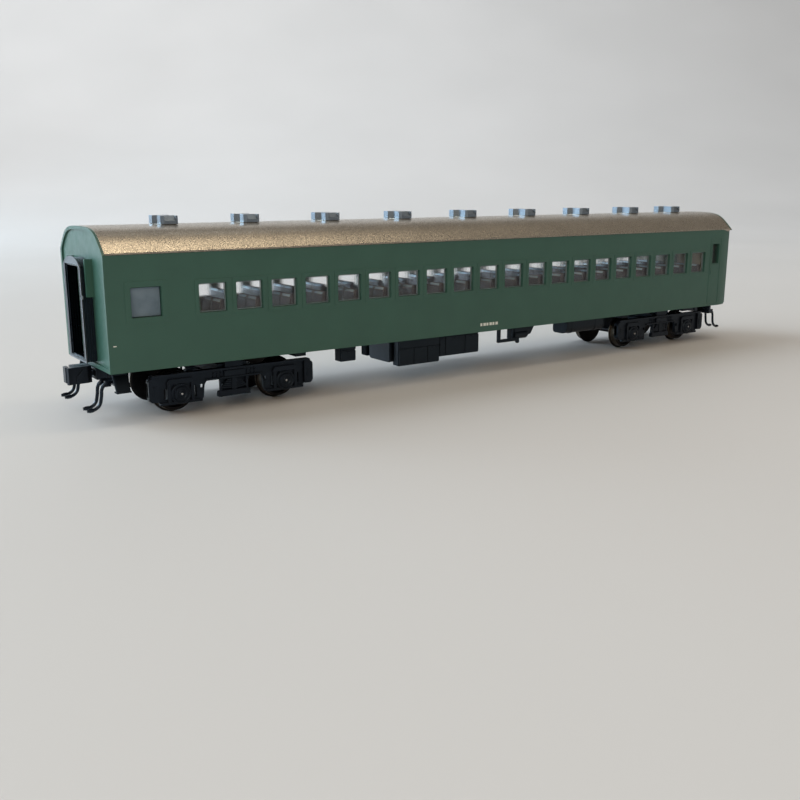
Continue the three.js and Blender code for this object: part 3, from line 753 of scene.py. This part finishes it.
for end_name, end in ENDS.items():
    piece(
        f"{end_name}_bellows", bellows(end), bellows_black,
        replaces=f"{end_name}_gangway_bellows", bevel=0.12, segments=3,
    )
    piece(
        f"{end_name}_faceplate", faceplate(end), plate_grey,
        replaces=f"{end_name}_gangway_faceplate", bevel=0.07,
    )
    piece(f"{end_name}_lining", faceplate_lining(end), bellows_black, bevel=0.06)
    piece(f"{end_name}_door", end_door(end), green, replaces=f"{end_name}_end_door", bevel=0.06)
    pane = prism("x", around(*end_door_window, -0.05, 0.45), *span(end, 119.5, 119.8))
    piece(f"{end_name}_door_pane", pane, clear, bevel=0.05)


# ---- Couplers ----

coupler_height = 11.4
pivot = 116.4


def on_coupler(shape, end):
    """Places a shape drawn about the coupler's pivot, with its head towards +X."""
    turn = Matrix.Rotation(0 if end > 0 else math.pi, 4, "Z")
    return transformed(shape, Matrix.Translation((end * pivot, 0, coupler_height)) @ turn)


def coupler_extras():
    """A cast rib, the pin's head and a cheek plate on a coupler head, about the coupler's pivot."""
    rib = prism("y", rounded([(5.6, 1.9), (9.2, 2.05), (9.2, 2.2), (5.6, 2.2)], 0.05), -0.35, 0.35)
    pin = disc("z", (9.0, -1.45, 2.1), 0.55, 0.1, 0.05, 20)
    cheek = rounded([(6.6, -1.8), (9.4, -1.8), (9.4, -0.4), (7.7, 1.3), (7.7, 1.9), (6.6, 1.9)], 0.1)
    return joined(rib, pin, prism("y", cheek, 2.3, 2.75))


for end_name, end in ENDS.items():
    refined(f"{end_name}_pocket", f"{end_name}_coupler_pocket", coupler_black, bevel=0.18, segments=3)
    refined(
        f"{end_name}_head", f"{end_name}_coupler_head", coupler_black,
        body=f"{end_name}_coupler", bevel=0.2, segments=3,
    )
    piece(
        f"{end_name}_head_ribs", on_coupler(coupler_extras(), end), coupler_black,
        body=f"{end_name}_coupler", bevel=0.06,
    )
    refined(
        f"{end_name}_knuckle_jaw", f"{end_name}_knuckle", coupler_black,
        body=f"{end_name}_knuckle", bevel=0.25, segments=4,
    )


# ---- Brake hoses and footsteps ----

hose_route = [
    (119.2, 10.6), (121.2, 10.4), (122.3, 9.2), (122.6, 7.2), (123.1, 5.2), (124.4, 4.1), (126.4, 3.85),
]


def hose_radius(share):
    """The radius at a share of the hose's length: a sleeve near the cock and a coupling at the foot."""
    if 0.1 < share < 0.3:
        return 0.52
    if 0.86 < share <= 0.97:
        return 0.54
    return 0.42 if share > 0.97 else 0.44


def hose(end, side, y):
    path = smooth_path([(end * x, side * y, z) for x, z in hose_route], 7)
    radii = [hose_radius(i / (len(path) - 1)) for i in range(len(path))]
    cock = block(span(end, 120.1, 121.6), span(side, y - 0.6, y + 0.6), (9.6, 11.1))
    lever = tube([(end * 120.6, side * y, 10.6), (end * 120.6, side * (y + 0.75), 10.9)], 0.1, 8)
    return joined(tube(path, radii, 16), cock, lever)


def hose_bracket(end, side):
    plate = oblong(span(side, 6.9, 12.4), (9.6, 12.75), 0.4)
    corners = [(7.8, 10.4), (7.8, 12.2), (11.6, 10.4), (11.6, 12.2)]
    rivets = [rivet("x", (end * 119.45, side * y, z), 0.2, end * 0.15) for y, z in corners]
    return joined(prism("x", plate, *span(end, 118.45, 119.45)), *rivets)


def footstep(side):
    """A slatted tread on two bent straps, with a plate behind it."""
    bent = [(13.0, 13.75), (13.4, 13.75), (13.4, 12.4), (16.2, 8.8), (16.2, 8.5), (15.7, 8.5), (13.0, 12.2)]
    strap = [(side * y, z) for y, z in bent]
    riser = [(y, z + 0.1) for y, z in strap]
    straps = [prism("x", strap, x, x + 0.35) for x in (-120.2, -116.95)]
    straps.append(prism("x", riser, -120.0, -116.8))
    slats = [block((-120.25, -116.55), span(side, y, y + 0.5), (8.4, 8.75)) for y in (14.45, 15.25, 16.05)]
    edges = [block((x, x + 0.4), span(side, 14.45, 16.55), (8.38, 8.72)) for x in (-120.25, -116.95)]
    return joined(*straps, *slats, *edges)


for end_name, end in ENDS.items():
    for side_name, side in SIDES.items():
        shapes = [hose_bracket(end, side), hose(end, side, 8.0), hose(end, side, 11.3)]
        piece(
            f"{end_name}_hoses_{side_name}", joined(*shapes), hose_black,
            replaces=f"{end_name}_brake_hoses_{side_name}", bevel=0.07,
        )
for side_name, side in SIDES.items():
    piece(f"steps_{side_name}", footstep(side), chassis, replaces=f"footstep_{side_name}", bevel=0.06)


# ---- Underframe and equipment ----


def floor_details():
    """Ribs, pipes and rivets under the floor."""
    shapes = [block((x - 0.4, x + 0.4), (-13.8, 13.8), (13.2, 14.0)) for x in (-58, -44, -8, 24, 50)]
    shapes += [tube([(-63, y, 13.3), (63, y, 13.3)], 0.3, 10) for y in (-5.2, 5.6)]
    for x in (-66.2, -67.8, 66.2, 67.8):
        for y in (-12, -9, -6, -3, 3, 6, 9, 12):
            shapes.append(rivet("z", (x, y, 12.12), 0.22, -0.12))
    for end in (-1, 1):
        for y in (-11, -8, -5, 5, 8, 11):
            shapes.append(rivet("z", (end * 116.8, y, 12.92), 0.22, -0.12))
    return joined(*shapes)


refined("floor", "underframe", chassis)
piece("floor_ribs", floor_details(), chassis, bevel=0.06)


def lidded_box(node_name, seams, face=-1, lid=0.3):
    """A case with a lid and doors on its outer side. Seams are shares of its width, the lid of its height."""
    low, high = limits(node_name)
    outer = low.y if face < 0 else high.y
    inner = high.y if face < 0 else low.y
    wall = outer - face * 0.35
    split = high.z - lid * (high.z - low.z)
    core = oblong((low.x, high.x), (wall, inner), [0.5, 0.5, 0.1, 0.1])
    shapes = [prism("z", core, low.z, high.z)]
    edges = [low.x] + [low.x + seam * (high.x - low.x) for seam in seams] + [high.x]
    for x0, x1 in zip(edges, edges[1:]):
        door = oblong((x0 + 0.12, x1 - 0.12), (low.z + 0.15, split - 0.12), 0.35)
        shapes.append(prism("y", door, *sorted((wall, outer - face * 0.1))))
        middle = (x0 + x1) / 2
        latch = (split - 0.75, split - 0.35)
        shapes.append(block((middle - 0.5, middle + 0.5), sorted((wall, outer)), latch))
    cover = oblong((low.x + 0.1, high.x - 0.1), (split + 0.1, high.z - 0.1), 0.3)
    shapes.append(prism("y", cover, *sorted((wall, outer - face * 0.06))))
    for x in edges[:-1]:
        for reach in (0.9, 2.1):
            hinge = [(x + reach, outer - face * 0.1, split), (x + reach + 0.6, outer - face * 0.1, split)]
            shapes.append(tube(hinge, 0.1, 8))
    return joined(*shapes)


def equipment(name, node_name, shape, bevel=0.1):
    piece(name, shape, casing, replaces=node_name, bevel=bevel)


equipment("relay_case", "relay_box", lidded_box("relay_box", []))
equipment("battery_case", "battery_box", lidded_box("battery_box", [0.36, 0.7], lid=0.36))
equipment("switchgear_case", "switchgear_box", lidded_box("switchgear_box", [0.14, 0.64], lid=0.12))
equipment("tool_case", "tool_box", lidded_box("tool_box", [0.5], face=1))


def middle_cases():
    top = limits("middle_cases")[1].z
    length = (-34.7, -20)
    corners = [1.2, 1.2, 0, 0]
    plate = block(length, (-11.2, 4.4), (top - 0.6, top))
    wide = prism("x", oblong((-11.2, 0), (6.2, top - 0.3), corners, 5), *length)
    band = oblong((-11.25, 0.05), (6.15, top - 0.4), corners, 5)
    bands = [prism("x", band, x, x + 0.4) for x in (-34.4, -27.6, -20.7)]
    narrow = block(length, (1.4, 4.4), (6.5, top - 0.3))
    ribs = [block((-35, -34.6), (y - 0.2, y + 0.2), (6.7, top - 1)) for y in (1.9, 2.9, 3.9)]
    return joined(plate, wide, *bands, narrow, *ribs)


def brake_gear():
    top = limits("brake_gear")[1].z
    slanted = rounded([(12.4, top), (22.4, top), (20.5, 10.6), (12.4, 9.5)], [0.1, 0.1, 0.5, 0.5])
    bar = oblong((5.7, 15.0), (8.9, 9.9), [0.3, 0.3, 0.1, 0.1])
    shapes = [prism("y", oblong((x, x + 1.1), (9.2, top), 0.05), -14.98, -14.2) for x in (5.7, 10.2)]
    cylinder = [(0, 13.2), (1.45, 13.2), (1.45, 18.6), (1.1, 19.2), (0, 19.2)]
    pin = [(0, 8.1), (0.45, 8.1), (0.7, 8.4), (0.7, 9.1), (0.4, 9.3), (0.4, 10), (0, 10)]
    cover = rounded([(13, 13), (20.4, 13), (19.3, 11.2), (13.4, 10.4)], 0.4)
    shapes += [
        prism("y", bar, -14.9, -14.2),
        prism("y", slanted, -14.4, -12.8),
        lathe("x", (0, -13.6, 10.8), cylinder, 28),
        prism("y", cover, -14.6, -14.2),
        lathe("z", (14.6, -14.4, 0), pin, 20),
    ]
    bolts = [(13.6, 12.4), (19.2, 12.4), (14, 11), (18.6, 11.4)]
    shapes += [rivet("y", (x, -14.55, z), 0.2, -0.15) for x, z in bolts]
    return joined(*shapes)


def water_tank():
    top = limits("water_tank")[1].z
    corners = [2.4, 1.2, 0, 0]
    outline = oblong((-14.9, -8.2), (9.0, top), corners, 8)
    shapes = [prism("x", outline, 37.2, 55.3)]
    for x in (37.0, 55.1):
        shapes.append(prism("x", outline, x, x + 0.4))
    strap = oblong((-14.98, -8.1), (8.85, top), corners, 8)
    for x in (39.5, 51.0):
        shapes.append(prism("x", strap, x, x + 1.0))
        shapes.append(rivet("y", (x + 0.5, -14.9, 13.0), 0.22, -0.1))
    return joined(*shapes)


def air_reservoir():
    top = limits("air_reservoir")[1].z
    middle = (0, 11.8, 10.2)
    half = [(0, 20.0), (1.2, 20.05), (2.0, 20.5), (2.4, 21.3)]
    shapes = [lathe("x", middle, half + [(radius, 62 - x) for radius, x in reversed(half)])]
    for x in (25.1, 36.1):
        band = lathe("x", middle, [(2.3, x), (2.4, x), (2.4, x + 1), (2.3, x + 1)])
        shapes += [band, block((x, x + 1), (9.4, 14.2), (12.0, top))]
    return joined(*shapes)


equipment("cases", "middle_cases", middle_cases(), bevel=0.15)
equipment("brake_rigging", "brake_gear", brake_gear(), bevel=0.08)
equipment("tank", "water_tank", water_tank(), bevel=0.08)
equipment("reservoir", "air_reservoir", air_reservoir(), bevel=0.05)


# ---- Bogies ----

bogie_centre = 87.5
half_base = 15.3
axle_height = 6.0
tread_edge = 5.2


def sideframe_plate():
    """The pressed side plate, drawn on the left side about the bogie's middle."""
    half = [
        (7.9, 8.5), (8.5, 7.6), (8.9, 3.9), (9.9, 3.5), (20.6, 3.3), (21.3, 4.4), (23.4, 4.6), (24.0, 5.4),
        (24.0, 10.0), (23.2, 11.4),
    ]
    outline = half + [(-x, z) for x, z in reversed(half)]
    holes = []
    for side in (-1, 1):
        holes.append(oblong(span(side, 8.7, 9.7), (6.65, 7.75), 0.25))
        for x in (11.2, 19.4):
            holes.append(oblong(span(side, x - 0.35, x + 0.35), (4.6, 7.6), 0.3))
    return prism("y", rounded(outline, 0.5, 3), -13.9, -12.75, holes=holes)


def flanges():
    """The thickened edges of the side plate: top chord, bottom chord and pedestal bars."""
    top_chord = rounded([(-23.3, 10.85), (23.3, 10.85), (23.0, 11.4), (-23.0, 11.4)], 0.2)
    bottom_chord = oblong((-8.2, 8.2), (8.5, 8.95), 0.15)
    shapes = [prism("y", top_chord, -14.6, -12.8), prism("y", bottom_chord, -14.45, -12.8)]
    end_piece = rounded(
        [(21.3, 4.4), (23.3, 4.4), (24.0, 5.2), (24.0, 10.8), (21.3, 10.8)], [0.2, 0.4, 0.5, 1.5, 0.3], 5
    )
    for side in (-1, 1):
        shapes.append(prism("y", [(side * x, z) for x, z in end_piece], -14.6, -12.8))
        shapes.append(block(span(side, 22.1, 22.9), (-14.75, -14.4), (6.4, 8.6)))
        for x in (12.05, 18.55):
            shapes.append(block(span(side, x - 0.45, x + 0.45), (-14.5, -13.2), (3.4, 9.3)))
            for z in (3.9, 8.8):
                shapes.append(rivet("y", (side * x, -14.5, z), 0.26, -0.1))
        top_guide = rounded([(11.3, 8.7), (19.3, 8.7), (18.6, 10.0), (12.0, 10.0)], 0.3)
        shapes.append(prism("y", [(side * x, z) for x, z in top_guide], -14.55, -13.2))
        shapes.append(prism("y", oblong(span(side, 9.4, 21.0), (3.3, 4.0), 0.2), -14.4, -13.0))
    return joined(*shapes)


def axle_box(x):
    """A round cover with stepped rings, and the ears that hold it in its guides."""
    cover = lathe("y", (x, 0, axle_height), [
        (0, -13.3), (2.8, -13.3), (2.8, -14.55), (2.62, -14.75), (2.3, -14.75), (2.15, -14.6), (1.95, -14.6),
        (1.8, -14.95), (1.25, -15.05), (1.05, -14.85), (0.75, -14.85), (0.6, -15.0), (0, -15.0),
    ], 48)
    ears = prism("y", oblong((x - 3.4, x + 3.4), (4.9, 7.3), 0.5), -14.35, -13.0)
    bolts = []
    for i in range(6):
        angle = math.pi * (i / 3 + 1 / 6)
        across, up = 2.45 * math.cos(angle), 2.45 * math.sin(angle)
        bolts.append(rivet("y", (x + across, -14.72, axle_height + up), 0.17, -0.15))
    spring_cap = block((x - 1.7, x + 1.7), (-14.45, -13.0), (8.2, 8.9))
    return joined(cover, ears, spring_cap, *bolts)


def bolster_spring():
    """The leaf springs at the middle of the bogie, their plank and its hangers."""
    shapes = []
    for i in range(6):
        reach = 3.6 - i * 0.42
        z = 5.5 + i * 0.5
        under = [(-reach, z + 0.35), (0, z), (reach, z + 0.35)]
        leaf = under + [(x, height + 0.42) for x, height in reversed(under)]
        shapes.append(prism("y", leaf, -13.85, -12.8))
    plank = rounded([(-4.8, 3.6), (4.8, 3.6), (4.5, 5.2), (-4.5, 5.2)], 0.3)
    shapes += [
        block((-0.7, 0.7), (-14.05, -12.8), (5.3, 9.0)),
        block((-3.1, 4.6), (-12.9, -11.8), (4.6, 9.0)),
        prism("y", plank, -14.1, -12.75),
        block((-2.6, 2.6), (-14.1, -10.5), (10.9, 13.0)),
        block((-3.0, 3.0), (-14.5, -13.2), (9.1, 10.6)),
    ]
    for x in (-3.9, 3.9):
        shapes.append(tube([(x, -13.6, 4.2), (x, -13.6, 9.2)], 0.36, 12))
        shapes.append(disc("z", (x, -13.6, 3.55), 0.55, 0.5, 0.1, 16))
        shapes.append(disc("y", (x, -13.7, 8.0), 0.5, -0.4, 0.1, 16))
    return joined(*shapes)


def sideframe():
    shapes = [sideframe_plate(), flanges(), bolster_spring()]
    shapes += [axle_box(x) for x in (-half_base, half_base)]
    for x in (-4.95, 4.95):
        for column in (-1.1, 0, 1.1):
            for z in (9.3, 10.0, 10.7):
                shapes.append(rivet("y", (x + column, -13.88, z), 0.3, -0.4))
    for x in (-21.9, 21.9):
        for z in (5.4, 7.0, 8.6, 10.2):
            shapes.append(rivet("y", (x, -14.58, z), 0.18, -0.05))
    return joined(*shapes)


def ring(radius, sides, x=0.0):
    """The outline of a circle."""
    turns = [2 * math.pi * i / sides for i in range(sides)]
    return [(x + radius * math.cos(turn), radius * math.sin(turn)) for turn in turns]


def bogie_frame():
    transom = prism("z", oblong((-4.4, 4.4), (-13, 13), 0.4), 9.55, 12.3, holes=[ring(1.35, 24)])
    cross = [block((x - 0.4, x + 0.4), (-12.9, 12.9), (9.8, 10.8)) for x in (-7.5, 7.5)]
    return joined(transom, *cross, both_sides(sideframe()))


def wheel(side):
    """A disc wheel with a coned tread, a flange and a dished web."""
    back = 7.25
    profile = [
        (1.02, 0.02), (5.35, 0.02), (5.7, 0.08), (5.95, 0.25), (6.0, 0.4),
        (5.88, 0.6), (5.55, 0.82), (5.38, 1.0), (5.33, 1.4), (5.27, 2.72),
        (5.18, 2.8), (4.5, 2.8), (4.38, 2.7), (4.22, 2.1), (3.6, 1.9),
        (2.6, 1.95), (1.95, 2.15), (1.82, 2.9), (1.7, 3.0), (1.02, 3.0),
    ]
    return lathe("y", (0, 0, 0), [(radius, side * (back + y)) for radius, y in profile], 72)


def axle():
    half = [(0, -14.35), (0.3, -14.35), (0.48, -14.1), (0.48, -12.4), (0.98, -11.7)]
    return lathe("y", (0, 0, 0), half + [(radius, -y) for radius, y in reversed(half)], 36)


def pivot_screw(x):
    """A slotted screw that holds the bogie to the floor."""
    head = lathe("z", (x, 0, 0), [(0, 8.5), (1.2, 8.5), (1.2, 8.95), (0, 8.95)], 24)
    slot = oblong((x - 1.6, x + 1.6), (-0.25, 0.25), 0.05)
    rim = prism("z", ring(2.0, 36, x), 8.32, 9.18, holes=[slot])
    shank = lathe("z", (x, 0, 0), [(0, 9.1), (0.98, 9.1), (0.98, 14.5), (0, 14.5)], 24)
    return joined(head, rim, shank)


def on_tread(centre):
    """Chooses the faces of a wheel's tread and flange."""
    def chosen(middle, normal):
        radial = Vector((middle.x - centre.x, 0, middle.z - centre.z))
        return radial.length > tread_edge and abs(normal.y) < 0.75
    return chosen


for end_name, end in ENDS.items():
    x = end * bogie_centre
    piece(
        f"{end_name}_bogie", moved(bogie_frame(), x), bogie_black, body=f"{end_name}_bogie",
        replaces=f"{end_name}_bogie_frame",
    )
    piece(f"{end_name}_pivot_screw", pivot_screw(x), steel, replaces=f"{end_name}_bogie_screw", bevel=0.08)
    pins = [disc("y", (x + side * half_base, -14.98, axle_height), 0.3, -0.12, 0.05, 16) for side in (-1, 1)]
    piece(
        f"{end_name}_bearing_pins", both_sides(joined(*pins)), steel,
        body=f"{end_name}_bogie", bevel=0.03,
    )
    for axle_name, direction in (("outer", end), ("inner", -end)):
        set_name = f"{end_name}_{axle_name}"
        centre = Vector((x + direction * half_base, 0, axle_height))
        on_body = f"{set_name}_wheelset"
        spindle = piece(
            f"{set_name}_spindle", moved(axle(), *centre), [steel, wheel_black], body=on_body,
            replaces=f"{set_name}_axle", bevel=0.05,
        )
        paint(spindle, 1, lambda middle, normal: abs(middle.y) < 12.3)
        for side_name, side in SIDES.items():
            made = piece(
                f"{set_name}_disc_{side_name}", moved(wheel(side), *centre), [wheel_black, tread],
                body=on_body, replaces=f"{set_name}_wheel_{side_name}", bevel=0, angle=28,
            )
            paint(made, 1, on_tread(centre))


# ---- Printed marks ----

ink = (-half_width - 0.02, -half_width + 0.02)
bars = [block((-4.1 + i * 1.25, -3.3 + i * 1.25 + (i % 2) * 0.2), ink, (15.6, 16.5)) for i in range(6)]
bars.append(block((-120.7, -119.9), ink, (20.4, 20.65)))
piece("side_marks", joined(*bars), white_mark, bevel=0)


# ---- Floor, light and camera ----


def backdrop():
    """A pale table that curves up into a wall a long way behind."""
    start, radius = 0.9, 1.6
    profile = [(-3.0, 0.0), (start, 0.0)]
    for i in range(1, 33):
        angle = math.pi / 2 * i / 32
        profile.append((start + radius * math.sin(angle), radius - radius * math.cos(angle)))
    profile.append((start + radius, 4.0))
    mesh = bpy.data.meshes.new("backdrop")
    turn = Matrix.Rotation(math.radians(-35), 4, "Z")
    points = [turn @ Vector((x, y, z)) for y, z in profile for x in (-5.0, 5.0)]
    faces = [(i, i + 1, i + 3, i + 2) for i in range(0, len(points) - 2, 2)]
    mesh.from_pydata(points, [], faces)
    for polygon in mesh.polygons:
        polygon.use_smooth = True
    stage = into_scene("backdrop", mesh)
    material, surface = shader("pale_table", (0.6, 0.58, 0.565), 0.6, specular=0.3)
    tone = clouded(material, 260.0, 2.0, (0.575, 0.555, 0.545), (0.605, 0.583, 0.573))
    link(material, tone, surface.inputs["Base Color"])
    stage.data.materials.append(material)


def lamp(name, kind, location, target, energy, colour):
    """A lamp that shines from its place towards the target, in metres. A sun only has a direction."""
    light = bpy.data.lights.new(name, kind)
    light.energy = energy
    light.color = colour
    made = into_scene(name, light)
    made.location = location
    made.rotation_euler = (Vector(target) - Vector(location)).to_track_quat("-Z", "Y").to_euler()
    return light


def area_light(name, location, target, size, energy, colour):
    light = lamp(name, "AREA", location, target, energy, colour)
    light.shape = "RECTANGLE"
    light.size, light.size_y = size


backdrop()
world = bpy.data.worlds.new("studio")
bpy.context.scene.world = world
world.use_nodes = True
adjust(world.node_tree.nodes["Background"], Color=(1.0, 0.94, 0.86, 1), Strength=0.27)
daylight = lamp("window", "SUN", (-0.7, 0.68, 0.7), (0, 0, 0), 1.95, (0.82, 0.93, 1.0))
daylight.angle = math.radians(45)
area_light("low_window", (-0.65, 1.05, 0.32), (0, 0, 0.02), (0.9, 0.4), 8, (0.62, 0.84, 1.0))
area_light("ceiling_lamp", (0.25, -0.13, 1.0), (0, 0, 0.04), (0.07, 0.7), 1.6, (1.0, 0.86, 0.64))
area_light("room_lamp", (-0.75, -0.95, 0.75), (0, 0, 0), (0.8, 0.8), 5.0, (1.0, 0.82, 0.58))
area_light("side_window", (-1.15, 0.1, 0.55), (-0.45, -0.05, 0), (0.8, 0.5), 5, (0.8, 0.91, 1.0))
area_light("wall_wash", (-0.1, 1.3, 1.6), (1.1, 2.4, 0.6), (2.5, 1.0), 31, (0.88, 0.95, 1.0))

camera = bpy.data.cameras.new("camera")
camera.lens = 41.38
camera.sensor_width = 36
camera.clip_start = 0.01
camera_object = into_scene("camera", camera)
camera_object.location = (-0.1913, -0.2384, 0.05839)
camera_object.rotation_euler = (math.radians(76.976), 0, math.radians(-35.25))
bpy.context.scene.camera = camera_object
bpy.context.scene.view_settings.view_transform = "Standard"
